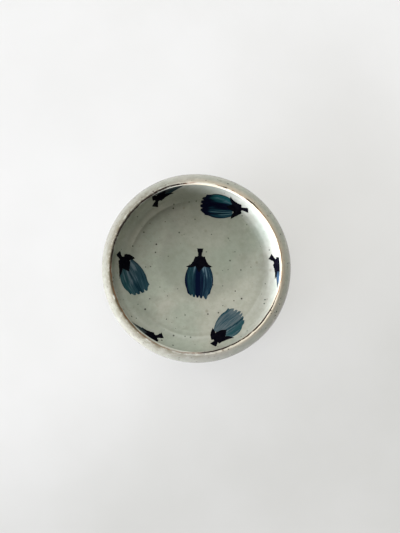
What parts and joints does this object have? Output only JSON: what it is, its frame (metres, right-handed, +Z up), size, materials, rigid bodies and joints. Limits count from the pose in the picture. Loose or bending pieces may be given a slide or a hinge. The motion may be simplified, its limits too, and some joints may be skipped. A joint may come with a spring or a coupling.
{
  "type": "serving bowl",
  "caption": "Round stoneware serving bowl with a drawn-in mouth, a foot ring, an iron-brown lip and painted aubergines on its glazed inside.",
  "frame": {"origin": "centre of the foot ring's resting face, on the bowl's axis", "axes": "+Z up the bowl's axis to the mouth; +Y towards the top edge of the picture and +X towards its right edge"},
  "size_m": [0.15, 0.15, 0.058],
  "materials": {
    "stoneware": "bare fired stoneware, matt and slightly gritty",
    "ash_glaze": "glossy grey-green glaze with fine iron specks",
    "iron_lip": "thin glaze that breaks to iron brown",
    "cobalt_paint": "brushed blue-teal pigment under gloss",
    "iron_paint": "brushed blue-black pigment under gloss"
  },
  "bodies": {
    "root": {"clay_body": "stoneware", "foot_ring": "stoneware", "inner_glaze": "ash_glaze", "outer_glaze": "ash_glaze", "lip_band": "iron_lip", "fruit_centre": "cobalt_paint", "fruit_floor_left": "cobalt_paint", "fruit_floor_top": "cobalt_paint", "fruit_floor_right": "cobalt_paint", "fruit_wall_left": "cobalt_paint", "fruit_wall_right": "cobalt_paint", "fruit_wall_bottom": "cobalt_paint", "calyx_centre": "iron_paint", "calyx_floor_left": "iron_paint", "calyx_floor_top": "iron_paint", "calyx_floor_right": "iron_paint", "calyx_wall_left": "iron_paint", "calyx_wall_right": "iron_paint", "calyx_wall_bottom": "iron_paint"}
  },
  "joints": []
}
